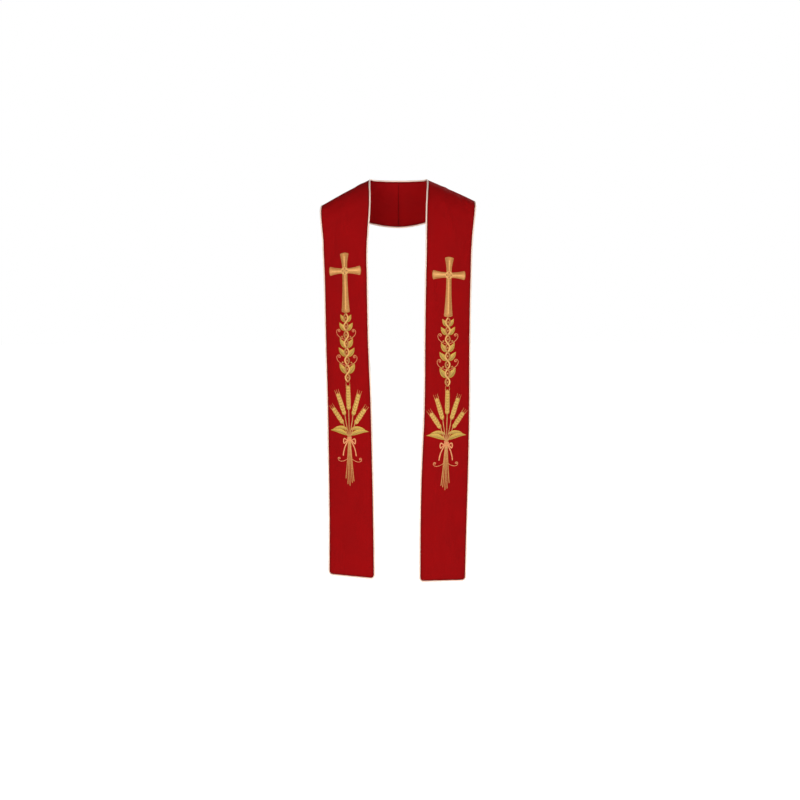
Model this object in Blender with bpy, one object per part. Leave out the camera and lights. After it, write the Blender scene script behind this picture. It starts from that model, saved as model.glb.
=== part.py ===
"""A clerical stole as it hangs when worn: two piped bands of cloth that meet at the centre back seam.

Metres, +Z up. The wearer faces -Y, so the wearer's right band lies at -X. The origin is the middle of the
neck edge at the centre back, where the stole hangs on the nape. Each band is a wall whose points are worked
out from cross sections: the back of the yoke from two ellipses, and the front from the tables below.
"""

from collections import namedtuple

import bmesh
import bpy
import numpy as np

MM = 0.001

# Cloth
WALL = 2.0 * MM
SEAM_GAP = 0.3 * MM
HEM_CORNER = 10.0 * MM

# Neck edge: an arc of an ellipse behind the neck, with its ends on the ridge of the shoulders
NECK_HALF_WIDTH = 90.0 * MM
NECK_DEPTH = 68.0 * MM
NECK_RISE = 1.0 * MM

# Lower edge of the yoke: an arc of an ellipse across the back, with its ends at the tips of the shoulders
YOKE_DEPTH = 138.0 * MM
YOKE_LEAN = 25.0 * MM
TIP_FORWARD = 80.0 * MM
YOKE_CROWN = 9.0 * MM  # at the centre back
RIDGE_CROWN = 1.5 * MM  # at the ridge of the shoulders

# Both arcs turn this far from the centre back to the ridge, so that the bands still head outwards there
RIDGE_TURN = np.radians(75.0)
YOKE_SHARES = np.array((-0.5, -0.25, 0.0, 0.25, 0.5, 0.75, 1.0))

# Piping: a round cord in a bias strip, sewn into the edge
PIPING_RADIUS = 2.0 * MM
PIPING_SIDES = 8

# Embroidered cross on each front
CROSS_HEIGHT = 1.2 * MM
CROSS_ABOVE_HEM = 932.0 * MM  # from the hem to its crossing, along the band
CROSS_WAIST = 8.0 * MM  # half the width of an arm where it leaves the crossing
CROSS_FLARE = 6.0 * MM  # what an arm's half width grows by towards its end
CROSS_BOW = 3.0 * MM  # how far the end of an arm bows out
CROSS_ARMS = ((0, 52.0 * MM), (90, 50.0 * MM), (180, 124.0 * MM), (270, 50.0 * MM))

# Mesh density
SHOULDER_STEP = 14.0 * MM
FRONT_STEP = 44.0 * MM
SHOULDER_END = 460.0 * MM  # length from the centre back at which the steps reach FRONT_STEP
ACROSS = 12

# A front section: both edges' distance out from the middle, forward of the nape and below it, and how far
# the cloth between them is crowned. All in millimetres.
SECTION_COLUMNS = "name inner_out outer_out inner_fore outer_fore inner_down outer_down crown"
Section = namedtuple("Section", SECTION_COLUMNS)

# A soft fold, as the middle and half length along the band and the middle and half width across it, both
# as a share of the width, with its height. Lengths in millimetres; a negative height is a trough.
Fold = namedtuple("Fold", "name along half_length across half_width height")

RIGHT_SECTIONS = (
    Section("shoulder front", 90.5, 235.5, 100.0, 103.0, 13.0, 88.0, 3.0),
    Section("collarbone", 89.0, 235.0, 128.0, 112.0, 45.0, 113.0, 5.0),
    Section("upper chest", 89.5, 232.5, 146.0, 114.0, 91.0, 145.0, 5.5),
    Section("armpit line", 93.0, 229.5, 156.0, 114.0, 145.0, 179.0, 5.0),
    Section("chest", 96.5, 228.5, 161.0, 113.0, 205.0, 217.0, 5.0),
    Section("ribs", 95.5, 225.5, 163.0, 113.0, 300.0, 303.0, 4.5),
    Section("waist", 92.5, 222.5, 160.0, 111.0, 480.0, 480.0, 4.0),
    Section("hip", 84.0, 217.0, 158.0, 110.0, 690.0, 689.0, 4.0),
    Section("thigh", 78.5, 213.5, 160.0, 116.0, 930.0, 927.0, 3.0),
    Section("hem", 75.0, 211.5, 165.0, 134.0, 1212.0, 1204.0, 2.0),
)
LEFT_SECTIONS = (
    Section("shoulder front", 91.0, 233.0, 100.0, 104.0, 13.0, 75.5, 3.0),
    Section("collarbone", 89.0, 231.0, 128.0, 115.0, 45.0, 101.0, 5.0),
    Section("upper chest", 87.0, 227.5, 146.0, 120.0, 91.0, 137.0, 5.5),
    Section("armpit line", 86.0, 224.0, 156.0, 123.0, 145.0, 174.0, 5.0),
    Section("chest", 85.5, 221.5, 161.0, 126.0, 205.0, 217.0, 5.0),
    Section("ribs", 83.5, 219.5, 163.0, 127.0, 300.0, 303.0, 4.5),
    Section("waist", 81.0, 217.0, 160.0, 122.0, 480.0, 480.0, 4.0),
    Section("hip", 79.0, 216.0, 159.0, 122.0, 690.0, 690.0, 4.0),
    Section("thigh", 69.5, 211.5, 162.0, 132.0, 930.0, 930.0, 3.0),
    Section("hem", 66.0, 204.5, 166.0, 138.0, 1220.0, 1222.0, 2.0),
)
RIGHT_FOLDS = (
    Fold("drag from the shoulder", 330.0, 95.0, 0.30, 0.22, -2.2),
    Fold("hollow under the chest", 640.0, 190.0, 0.62, 0.30, -2.6),
    Fold("roll of the inner edge", 980.0, 200.0, 0.05, 0.25, 2.4),
    Fold("curl of the hem", 1400.0, 90.0, 0.95, 0.30, 2.8),
)
LEFT_FOLDS = (
    Fold("drag from the shoulder", 350.0, 105.0, 0.34, 0.24, -2.0),
    Fold("hollow under the chest", 700.0, 210.0, 0.55, 0.28, -2.4),
    Fold("roll of the outer edge", 1020.0, 180.0, 0.98, 0.25, 2.2),
    Fold("curl of the hem", 1425.0, 85.0, 0.08, 0.28, 2.6),
)

# A band: which way is out (-1 is the wearer's right), the tip of its shoulder, its sections and folds
Band = namedtuple("Band", "name out tip_reach tip_fall sections folds")
RIGHT = Band("right", -1.0, 230.5 * MM, 74.5 * MM, RIGHT_SECTIONS, RIGHT_FOLDS)
LEFT = Band("left", 1.0, 228.5 * MM, 61.5 * MM, LEFT_SECTIONS, LEFT_FOLDS)


def clear_scene():
    for item in list(bpy.data.objects):
        bpy.data.objects.remove(item, do_unlink=True)


def material(name, color, roughness):
    made = bpy.data.materials.new(name)
    made.use_nodes = True
    shader = made.node_tree.nodes["Principled BSDF"]
    shader.inputs["Base Color"].default_value = (*color, 1.0)
    shader.inputs["Roughness"].default_value = roughness
    shader.inputs["Metallic"].default_value = 0.0
    return made


def yoke_edges(band):
    """Inner edge, outer edge and crown across the yoke, from past the centre back to the shoulder ridge."""
    sideways = band.out * np.sin(RIDGE_TURN * YOKE_SHARES) / np.sin(RIDGE_TURN)
    forward = (1.0 - np.cos(RIDGE_TURN * YOKE_SHARES)) / (1.0 - np.cos(RIDGE_TURN))
    rise = np.sin(np.pi / 2.0 * YOKE_SHARES) ** 2
    inner = np.stack((NECK_HALF_WIDTH * sideways, -NECK_DEPTH * forward, NECK_RISE * rise), axis=1)
    lean = YOKE_LEAN - (YOKE_LEAN + TIP_FORWARD) * forward
    climb = (YOKE_DEPTH - band.tip_fall) * rise - YOKE_DEPTH
    outer = np.stack((band.tip_reach * sideways, lean, climb), axis=1)
    return inner, outer, YOKE_CROWN + (RIDGE_CROWN - YOKE_CROWN) * rise


def front_edges(band):
    """Inner and outer edge and crown at each front section."""
    rows = np.array([section[1:] for section in band.sections]) * MM
    inner = np.stack((band.out * rows[:, 0], -rows[:, 2], -rows[:, 4]), axis=1)
    outer = np.stack((band.out * rows[:, 1], -rows[:, 3], -rows[:, 5]), axis=1)
    return inner, outer, rows[:, 6]


def sections_of(band):
    """Lengths from the centre back, along the middle of the band, and the edges and crown at each."""
    joined = [np.concatenate(pair) for pair in zip(yoke_edges(band), front_edges(band))]
    middle = (joined[0] + joined[1]) / 2.0
    steps = np.linalg.norm(np.diff(middle, axis=0), axis=1)
    lengths = np.concatenate(((0.0,), np.cumsum(steps)))
    centre_back = int(np.flatnonzero(YOKE_SHARES == 0.0)[0])
    return lengths - lengths[centre_back], *joined


def smooth(knots, values, at):
    """A cubic curve through the values, whose tangent at each is the slope between its neighbours."""
    slopes = np.gradient(values, knots, axis=0)
    low = np.clip(np.searchsorted(knots, at, side="right") - 1, 0, len(knots) - 2)
    gap = knots[low + 1] - knots[low]
    part = (at - knots[low]) / gap
    shape = part.shape + (1,) * (values.ndim - 1)
    part, gap = part.reshape(shape), gap.reshape(shape)
    start = (1.0 + 2.0 * part) * (1.0 - part) ** 2 * values[low]
    end = part**2 * (3.0 - 2.0 * part) * values[low + 1]
    leave = part * (1.0 - part) ** 2 * gap * slopes[low]
    arrive = part**2 * (part - 1.0) * gap * slopes[low + 1]
    return start + end + leave + arrive


def unit(vectors):
    return vectors / np.linalg.norm(vectors, axis=-1, keepdims=True)


def normals(surface, band, along, across):
    """Unit normals away from the wearer, from points a little to each side."""
    step, share = 0.5 * MM, 0.004
    down = surface(band, along + step, across) - surface(band, along - step, across)
    outward = surface(band, along, across + share) - surface(band, along, across - share)
    return unit(np.cross(down, outward)) * band.out


def straight(band, along, across):
    """Points of straight cross sections, from the inner edge at across 0 to the outer edge at 1."""
    knots, inner, outer, _ = sections_of(band)
    share = across[..., None]
    points = (1.0 - share) * smooth(knots, inner, along) + share * smooth(knots, outer, along)
    return points + np.array((band.out * SEAM_GAP / 2.0, 0.0, 0.0))


def relief(band, along, across):
    """How far the cloth stands off its straight cross sections: its crown and its soft folds."""
    knots, _, _, crown = sections_of(band)
    height = smooth(knots, crown, along) * 4.0 * across * (1.0 - across)
    for fold in band.folds:
        lengthwise = (along - fold.along * MM) / (fold.half_length * MM)
        sideways = (across - fold.across) / fold.half_width
        height = height + fold.height * MM * np.exp(-(lengthwise**2) - sideways**2)
    return height


def cloth(band, along, across):
    """Points of the outer face of the cloth."""
    lift = relief(band, along, across)[..., None]
    return straight(band, along, across) + lift * normals(straight, band, along, across)


def raised(band, along, across, height):
    """Points this far off the outer face, along its normals."""
    return cloth(band, along, across) + height * normals(cloth, band, along, across)


def hem_length(band):
    return sections_of(band)[0][-1]


def width_at(band, along):
    ends = np.array((0.0, 1.0))
    edge = cloth(band, np.full(2, along), ends)
    return float(np.linalg.norm(edge[1] - edge[0]))


def stations(band):
    """Lengths along the band: close together round the shoulder, wider down the front, close at the hem."""
    hem = hem_length(band)
    found = [0.0]
    while found[-1] < hem - HEM_CORNER - FRONT_STEP / 2.0:
        share = min(found[-1] / SHOULDER_END, 1.0)
        found.append(found[-1] + SHOULDER_STEP + (FRONT_STEP - SHOULDER_STEP) * share**2)
    found = np.array(found) * (hem - HEM_CORNER) / found[-1]
    corner = hem - HEM_CORNER * (1.0 - np.sin(np.radians((22.5, 45.0, 67.5, 90.0))))
    return np.concatenate((found, corner))


def corner_inset(band, along):
    """How far a rounded hem corner draws the edge in, as a share of the width."""
    into = np.clip(along - hem_length(band) + HEM_CORNER, 0.0, HEM_CORNER)
    return (HEM_CORNER - np.sqrt(HEM_CORNER**2 - into**2)) / width_at(band, hem_length(band))


def grid_faces(rows, columns):
    row, column = np.meshgrid(np.arange(rows - 1), np.arange(columns - 1), indexing="ij")
    first = (row * columns + column).ravel()
    return np.stack((first, first + 1, first + columns + 1, first + columns), axis=1)


def boundary(faces):
    """Directed edges that only one face has."""
    edges = {(int(a), int(b)) for face in faces for a, b in zip(face, np.roll(face, -1))}
    return sorted((a, b) for a, b in edges if (b, a) not in edges)


def add_object(name, points, faces, look):
    mesh = bpy.data.meshes.new(name)
    mesh.from_pydata(points.tolist(), [], [[int(i) for i in face] for face in faces])
    shape = bmesh.new()
    shape.from_mesh(mesh)
    bmesh.ops.recalc_face_normals(shape, faces=shape.faces)
    shape.to_mesh(mesh)
    shape.free()
    mesh.shade_smooth()
    mesh.set_sharp_from_angle(angle=np.radians(40.0))
    mesh.materials.append(look)
    made = bpy.data.objects.new(name, mesh)
    bpy.context.scene.collection.objects.link(made)
    return made


def wall_between(name, outer, inner, faces, look):
    """A closed wall from the points of its two faces."""
    count = len(outer)
    rims = [(a, b, b + count, a + count) for a, b in boundary(faces)]
    back = faces[:, ::-1] + count
    return add_object(name, np.concatenate((outer, inner)), [*faces, *back, *rims], look)


def add_band(band, look):
    along, share = np.meshgrid(stations(band), np.linspace(0.0, 1.0, ACROSS + 1), indexing="ij")
    inset = corner_inset(band, along)
    across = inset + (1.0 - 2.0 * inset) * share
    outer = raised(band, along, across, 0.0).reshape(-1, 3)
    inner = raised(band, along, across, -WALL).reshape(-1, 3)
    wall_between(f"stole_band_{band.name}", outer, inner, grid_faces(*along.shape), look)


def edge_route(band):
    """Along and across values of the band's edge: down the inner side, along the hem, up the outer side."""
    sides = stations(band)
    inset = corner_inset(band, sides)
    hem_across = np.linspace(inset[-1], 1.0 - inset[-1], ACROSS + 1)[1:-1]
    along = np.concatenate((sides, np.full(len(hem_across), sides[-1]), sides[::-1]))
    return along, np.concatenate((inset, hem_across, 1.0 - inset[::-1]))


def add_piping(band, look):
    """A round cord beside the band's edge, from the centre back seam round the hem and back to the seam.

    Its rings stand on the mitre of each bend, so that its sides run parallel to the edge they are sewn to.
    """
    along, across = edge_route(band)
    edge = raised(band, along, across, -WALL / 2.0)
    steps = unit(np.diff(edge, axis=0))
    seam = np.array([(band.out, 0.0, 0.0)])
    before, after = np.concatenate((seam, steps)), np.concatenate((steps, -seam))
    ahead = unit(before + after)
    mitre = 1.0 / np.sqrt((1.0 + np.sum(before * after, axis=1, keepdims=True)) / 2.0)
    outward = unit(np.cross(ahead, normals(cloth, band, along, across))) * band.out
    upright = np.cross(outward, ahead)
    middle = edge + outward * mitre * (SEAM_GAP + PIPING_RADIUS)
    turns = 2.0 * np.pi * (np.arange(PIPING_SIDES) + 0.5) / PIPING_SIDES
    corner_radius = PIPING_RADIUS / np.cos(np.pi / PIPING_SIDES)
    sideways, rise = np.cos(turns)[:, None], np.sin(turns)[:, None]
    ring = corner_radius * (sideways * (outward * mitre)[:, None] + rise * upright[:, None])
    points = (middle[:, None] + ring).reshape(-1, 3)
    first = np.arange(PIPING_SIDES)
    after_first = np.roll(first, -1)
    faces = []
    for start in range(0, len(points) - PIPING_SIDES, PIPING_SIDES):
        far = start + PIPING_SIDES
        faces += zip(start + first, start + after_first, far + after_first, far + first)
    faces += [first[::-1], first + len(points) - PIPING_SIDES]
    add_object(f"piping_{band.name}", points, faces, look)


def arm(length):
    """Sideways and outward sizes of one flared arm of the cross, from the crossing to its bowed end."""
    out, share = np.meshgrid(np.linspace(0.0, 1.0, 9), np.linspace(-1.0, 1.0, 5), indexing="ij")
    half_width = CROSS_WAIST + CROSS_FLARE * out**2
    reach = CROSS_WAIST + (length - CROSS_WAIST) * out + CROSS_BOW * (1.0 - share**2) * out**4
    return share * half_width, reach


def cross_plan():
    """Points (sideways, down) and faces of the flat cross: a crossing and the four arms joined to it."""
    shape = bmesh.new()
    side, down = np.meshgrid(np.linspace(-1, 1, 5), np.linspace(-1, 1, 5), indexing="ij")
    patches = [(side * CROSS_WAIST, down * CROSS_WAIST)]
    for turn, length in CROSS_ARMS:
        sideways, reach = arm(length)
        cosine, sine = np.cos(np.radians(turn)), np.sin(np.radians(turn))
        patches.append((sideways * cosine + reach * sine, sideways * sine - reach * cosine))
    for side, down in patches:
        corners = [shape.verts.new((a, b, 0.0)) for a, b in zip(side.ravel(), down.ravel())]
        for face in grid_faces(*side.shape):
            shape.faces.new([corners[i] for i in face])
    bmesh.ops.remove_doubles(shape, verts=shape.verts, dist=0.01 * MM)
    bmesh.ops.recalc_face_normals(shape, faces=shape.faces)
    shape.verts.index_update()
    points = np.array([vert.co[:2] for vert in shape.verts])
    faces = np.array([[vert.index for vert in face.verts] for face in shape.faces])
    shape.free()
    return points, faces


def add_cross(band, look):
    points, faces = cross_plan()
    middle = hem_length(band) - CROSS_ABOVE_HEM
    along = middle + points[:, 1]
    across = 0.5 + points[:, 0] / width_at(band, middle)
    outer = raised(band, along, across, SEAM_GAP + CROSS_HEIGHT)
    inner = raised(band, along, across, SEAM_GAP)
    wall_between(f"embroidered_cross_{band.name}", outer, inner, faces, look)


def main():
    clear_scene()
    red_cloth = material("red_cloth", (0.305, 0.005, 0.006), 0.85)
    cream_piping = material("cream_piping", (0.87, 0.60, 0.45), 0.6)
    gold_thread = material("gold_thread", (0.62, 0.37, 0.12), 0.4)
    for band in (RIGHT, LEFT):
        add_band(band, red_cloth)
        add_piping(band, cream_piping)
        add_cross(band, gold_thread)


main()
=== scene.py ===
"""Looks for a clerical stole: two piped bands of fine red cloth with an embroidered cross, laurel and wheat.

Metres, +Z up, the wearer facing -Y. Each band is a surface of two parameters: along, the length from the
centre back seam down the middle of the band, and across, from 0 at the inner edge to 1 at the outer edge.
Whatever is sewn or stitched on a band is worked out from that surface, moved out along its normals.
"""

from collections import namedtuple
from functools import reduce

import bpy
import numpy as np
from mathutils import Matrix


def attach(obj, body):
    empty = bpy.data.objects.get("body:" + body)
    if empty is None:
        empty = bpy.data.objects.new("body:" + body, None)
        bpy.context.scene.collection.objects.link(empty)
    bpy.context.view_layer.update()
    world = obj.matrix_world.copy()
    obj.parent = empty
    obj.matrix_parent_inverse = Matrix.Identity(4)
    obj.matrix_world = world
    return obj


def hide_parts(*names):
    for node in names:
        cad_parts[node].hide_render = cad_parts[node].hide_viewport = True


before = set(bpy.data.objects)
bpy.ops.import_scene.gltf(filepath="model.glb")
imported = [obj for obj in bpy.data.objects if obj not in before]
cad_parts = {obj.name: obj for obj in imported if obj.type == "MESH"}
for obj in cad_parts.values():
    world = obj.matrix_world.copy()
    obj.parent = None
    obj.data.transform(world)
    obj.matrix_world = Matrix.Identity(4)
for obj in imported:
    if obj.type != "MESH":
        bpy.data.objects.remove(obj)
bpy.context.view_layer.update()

MM = 0.001
TURN = 2 * np.pi

# --- The worn form of the cloth, with the same sizes as the part's source ---

WALL = 2 * MM
SEAM_GAP = 0.3 * MM
HEM_CORNER = 10 * MM
NECK_HALF_WIDTH = 90 * MM
NECK_DEPTH = 68 * MM
NECK_RISE = 1 * MM
YOKE_DEPTH = 138 * MM
YOKE_LEAN = 25 * MM
TIP_FORWARD = 80 * MM
YOKE_CROWN = 9 * MM  # at the centre back
RIDGE_CROWN = 1.5 * MM  # at the ridge of the shoulders
RIDGE_TURN = np.radians(75)
YOKE_SHARES = np.array((-0.5, -0.25, 0, 0.25, 0.5, 0.75, 1))
PIPING_RADIUS = 2 * MM
CROSS_ABOVE_HEM = 932 * MM
CROSS_WAIST = 8 * MM
CROSS_FLARE = 6 * MM
CROSS_BOW = 3 * MM
CROSS_ARMS = ((0, 52 * MM), (90, 50 * MM), (180, 124 * MM), (270, 50 * MM))

# Each table below has a row for the right band and one for the left.
# Front sections, in millimetres: the inner and outer edge's distance out from the middle, the same two
# forward of the nape and the same two below it, and how far the cloth between them is crowned
FRONT_SECTIONS = {
    "shoulder front": ((90.5, 235.5, 100, 103, 13, 88, 3), (91, 233, 100, 104, 13, 75.5, 3)),
    "collarbone": ((89, 235, 128, 112, 45, 113, 5), (89, 231, 128, 115, 45, 101, 5)),
    "upper chest": ((89.5, 232.5, 146, 114, 91, 145, 5.5), (87, 227.5, 146, 120, 91, 137, 5.5)),
    "armpit line": ((93, 229.5, 156, 114, 145, 179, 5), (86, 224, 156, 123, 145, 174, 5)),
    "chest": ((96.5, 228.5, 161, 113, 205, 217, 5), (85.5, 221.5, 161, 126, 205, 217, 5)),
    "ribs": ((95.5, 225.5, 163, 113, 300, 303, 4.5), (83.5, 219.5, 163, 127, 300, 303, 4.5)),
    "waist": ((92.5, 222.5, 160, 111, 480, 480, 4), (81, 217, 160, 122, 480, 480, 4)),
    "hip": ((84, 217, 158, 110, 690, 689, 4), (79, 216, 159, 122, 690, 690, 4)),
    "thigh": ((78.5, 213.5, 160, 116, 930, 927, 3), (69.5, 211.5, 162, 132, 930, 930, 3)),
    "hem": ((75, 211.5, 165, 134, 1212, 1204, 2), (66, 204.5, 166, 138, 1220, 1222, 2)),
}

# Soft folds: the middle and half length along the band in millimetres, the middle and half width across it as
# shares of the width, and the height in millimetres, negative for a trough
FOLDS = {
    "drag from the shoulder": ((330, 95, 0.30, 0.22, -2.2), (350, 105, 0.34, 0.24, -2)),
    "hollow under the chest": ((640, 190, 0.62, 0.30, -2.6), (700, 210, 0.55, 0.28, -2.4)),
    "roll of one edge": ((980, 200, 0.05, 0.25, 2.4), (1020, 180, 0.98, 0.25, 2.2)),
    "curl of the hem": ((1400, 90, 0.95, 0.30, 2.8), (1425, 85, 0.08, 0.28, 2.6)),
}

# Fine creases: the middle (along in millimetres, across as a share), the half length and half width in
# millimetres, the turn from the band's length in degrees, and the height in millimetres
CREASES = {
    "pull from the nape": ((62, 0.42, 46, 9, 24, 2.1), (58, 0.46, 44, 9, 20, 2.1)),
    "hollow behind the ridge": ((148, 0.60, 40, 12, -18, -2.4), (152, 0.56, 42, 12, -22, -2.4)),
    "pull over the ridge": ((214, 0.28, 42, 9, -32, 2.1), (220, 0.30, 40, 9, -28, 2)),
    "dip inside the shoulder tip": ((238, 0.74, 34, 12, 28, -2.4), (244, 0.76, 36, 12, 24, -2.1)),
    "drag to the collarbone": ((300, 0.52, 60, 10, 16, 2), (312, 0.48, 62, 10, 20, 2)),
    "slack at the chest": ((402, 0.80, 80, 13, -9, -2.1), (415, 0.84, 78, 12, -12, -2)),
    "slack beside the cross": ((505, 0.17, 90, 11, 6, 1.7), (520, 0.15, 92, 11, 4, 1.7)),
    "upper long hang": ((735, 0.86, 150, 14, 4, 2.1), (762, 0.14, 150, 13, -5, 2)),
    "lower long hang": ((880, 0.16, 160, 13, -4, -2), (905, 0.85, 165, 14, 3, -2)),
    "ease over the hip": ((1075, 0.66, 120, 18, 9, 2), (1090, 0.36, 120, 18, -8, 2)),
    "fall to the hem": ((1238, 0.30, 120, 17, -7, 2.4), (1262, 0.64, 120, 17, 8, 2.4)),
    "dip above the hem": ((1318, 0.72, 70, 15, 5, -2.1), (1340, 0.26, 66, 15, -4, -2.1)),
    "belly beside the inner edge": ((700, 0.25, 300, 24, 2, 1.8), (800, 0.25, 330, 24, -2, 1.8)),
    "outer edge turned back": ((640, 1.04, 330, 20, 0, -2.6), (560, 1.04, 260, 18, 0, -2)),
    "outer corner turned back": ((1240, 1.03, 170, 22, 0, -2.8), (1290, 1.04, 180, 22, 0, -3)),
}

# A band: which way is out (-1 is the wearer's right), the tip of its shoulder, the flat rectangle and flat
# area that its cloth was cut to, in metres, and its sections, folds and creases
Band = namedtuple("Band", "name out tip_reach tip_fall flat area sections folds creases")


def rows_of(number):
    return [[pair[number] for pair in table.values()] for table in (FRONT_SECTIONS, FOLDS, CREASES)]


RIGHT = Band("right", -1, 230.5 * MM, 74.5 * MM, (0.234, 1.415), 0.198, *rows_of(0))
LEFT = Band("left", 1, 228.5 * MM, 61.5 * MM, (0.214, 1.443), 0.202, *rows_of(1))
BANDS = (RIGHT, LEFT)

MEAN_WIDTH = 142 * MM
NORMAL_STEP = 0.5 * MM  # how far along and across the surface its normals are measured
NORMAL_SHARE = 0.004
CREASE_SWELL = 0.25  # how much a crease's half width swells and narrows, and how fast along its half length
CREASE_WAVE = 2.6
PUCKER = 0.16 * MM  # the ripple that the piping seam puts into the cloth's edge
PUCKER_REACH = 7 * MM
PUCKER_WAVES = ((2.1, 0, 1), (3.37, 1, 1), (6.3, 2, 0.8))  # length in millimetres, shift and weight
PUCKER_SHIFT = 0.61  # how far the two edges' ripples are out of step, as a share of the width


def points_of(*coordinates):
    """Points from their coordinates, each an array or a number."""
    return np.stack(np.broadcast_arrays(*coordinates), axis=-1)


def joined(*rows):
    """Rows, or the points of some shapes, one after another."""
    return np.concatenate(rows)


def bell(*parts):
    """A soft bump: e to the minus sum of the squares."""
    return np.exp(-sum(part**2 for part in parts))


def round_of(part, power=2):
    """A rounded profile: the root of 1 less the part to this power, a circle's for the power of 2."""
    return np.sqrt(np.maximum(1 - np.abs(part) ** power, 0))


def unit(vectors):
    return vectors / np.linalg.norm(vectors, axis=-1, keepdims=True)


def run_of(points):
    """The distance of each point along a row of points, as the sum of the straight steps before it."""
    return joined((0,), np.cumsum(np.linalg.norm(np.diff(points, axis=0), axis=1)))


def yoke_edges(band):
    """Two arcs of ellipses across the back: sideways as the sine of the turn, forward as one less its cosine."""
    sideways = band.out * np.sin(RIDGE_TURN * YOKE_SHARES) / np.sin(RIDGE_TURN)
    forward = (1 - np.cos(RIDGE_TURN * YOKE_SHARES)) / (1 - np.cos(RIDGE_TURN))
    rise = np.sin(np.pi / 2 * YOKE_SHARES) ** 2
    lean = YOKE_LEAN - (YOKE_LEAN + TIP_FORWARD) * forward
    climb = (YOKE_DEPTH - band.tip_fall) * rise - YOKE_DEPTH
    inner = points_of(NECK_HALF_WIDTH * sideways, -NECK_DEPTH * forward, NECK_RISE * rise)
    return inner, points_of(band.tip_reach * sideways, lean, climb), YOKE_CROWN + (RIDGE_CROWN - YOKE_CROWN) * rise


def front_edges(band):
    """Inner and outer edge and crown, one row for each front section."""
    rows = np.array(band.sections) * MM
    edges = (points_of(band.out * rows[:, side], -rows[:, side + 2], -rows[:, side + 4]) for side in (0, 1))
    return *edges, rows[:, 6]


def sections_of(band):
    """Both edges and the crown at each section, with the summed chords of the middle line as their lengths."""
    inner, outer, crown = (joined(*pair) for pair in zip(yoke_edges(band), front_edges(band)))
    lengths = run_of((inner + outer) / 2)
    return lengths - lengths[list(YOKE_SHARES).index(0)], inner, outer, crown


SECTIONS = {band.name: sections_of(band) for band in BANDS}


def smooth(knots, values, at):
    """Cubic between each two values, with the slope between their neighbours as the tangent at each."""
    slopes = np.gradient(values, knots, axis=0)
    low = np.clip(np.searchsorted(knots, at, side="right") - 1, 0, len(knots) - 2)
    gap = knots[low + 1] - knots[low]
    part = (at - knots[low]) / gap
    shape = part.shape + (1,) * (values.ndim - 1)
    part, gap = part.reshape(shape), gap.reshape(shape)
    start = (1 + 2 * part) * (1 - part) ** 2 * values[low]
    end = part**2 * (3 - 2 * part) * values[low + 1]
    leave = part * (1 - part) ** 2 * gap * slopes[low]
    return start + end + leave + part**2 * (part - 1) * gap * slopes[low + 1]


def normals(surface, band, along, across):
    """Unit normals away from the wearer: the cross product of the steps down and across the surface."""
    down = surface(band, along + NORMAL_STEP, across) - surface(band, along - NORMAL_STEP, across)
    outward = surface(band, along, across + NORMAL_SHARE) - surface(band, along, across - NORMAL_SHARE)
    return unit(np.cross(down, outward)) * band.out


def straight(band, along, across):
    """Straight lines across the band: the inner edge times 1 less across, plus the outer edge times across."""
    knots, inner, outer, _ = SECTIONS[band.name]
    share = across[..., None]
    points = (1 - share) * smooth(knots, inner, along) + share * smooth(knots, outer, along)
    return points + np.array((band.out * SEAM_GAP / 2, 0, 0))


def hem_length(band):
    return SECTIONS[band.name][0][-1]


def creased(band, along, across):
    """Soft uneven creases: height times e to the minus (u / half length)^2 + (v / half width)^2.

    u runs along the turned crease and v across it, and its half width swells and narrows by a quarter.
    """
    total = np.zeros(np.broadcast(along, across).shape)
    for middle, share, half_length, half_width, degrees, height in band.creases:
        turn = np.radians(degrees) * band.out
        down, side = along - middle * MM, (across - share) * MEAN_WIDTH
        u = (down * np.cos(turn) + side * np.sin(turn)) / (half_length * MM)
        swell = 1 + CREASE_SWELL * np.sin(CREASE_WAVE * u + middle)
        v = (side * np.cos(turn) - down * np.sin(turn)) / (half_width * MM * swell)
        total = total + height * MM * bell(u, v)
    return total


def puckered(band, along, across):
    """Ripple beside the piping seam: a sum of three sines, dying away as e to the minus (distance / reach)^2."""
    side = np.minimum(across, 1 - across) * MEAN_WIDTH
    away = np.minimum(side, hem_length(band) - along)
    place = along + across * PUCKER_SHIFT * MEAN_WIDTH
    wave = sum(weight * np.sin(place / (length * MM) + shift) for length, shift, weight in PUCKER_WAVES)
    return PUCKER * wave / sum(weight for _, _, weight in PUCKER_WAVES) * bell(away / PUCKER_REACH)


def relief(band, along, across):
    """The crown, as 4 x (1 - x) across the band, with the soft folds, the fine creases and the seam's ripple."""
    knots, _, _, crown = SECTIONS[band.name]
    total = smooth(knots, crown, along) * 4 * across * (1 - across)
    for middle, half_length, share, half_width, height in band.folds:
        lengthwise = (along - middle * MM) / (half_length * MM)
        total = total + height * MM * bell(lengthwise, (across - share) / half_width)
    return total + creased(band, along, across) + puckered(band, along, across)


def cloth(band, along, across):
    """Points of the outer face of the cloth: the straight lines, moved out by the relief."""
    lift = relief(band, along, across)[..., None]
    return straight(band, along, across) + lift * normals(straight, band, along, across)


def raised(band, along, across, height):
    """Points this far off the outer face, along its normals. Height is a number or an array of one a point."""
    return cloth(band, along, across) + np.asarray(height)[..., None] * normals(cloth, band, along, across)


def measured_widths(band):
    """Lengths along the band, and the band's width at each, as the straight distance between its edges."""
    along = np.linspace(-20 * MM, hem_length(band), 90)
    inner, outer = (straight(band, along, np.full_like(along, share)) for share in (0, 1))
    return along, np.linalg.norm(outer - inner, axis=1)


WIDTHS = {band.name: measured_widths(band) for band in BANDS}


def width_of(band, along):
    return np.interp(along, *WIDTHS[band.name])


# --- Meshes ---

# The solids that dressed pieces stand for
STANDS_FOR = {"band_cloth": "stole_band", "piping_cord": "piping", "cross_fill": "embroidered_cross"}


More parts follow.
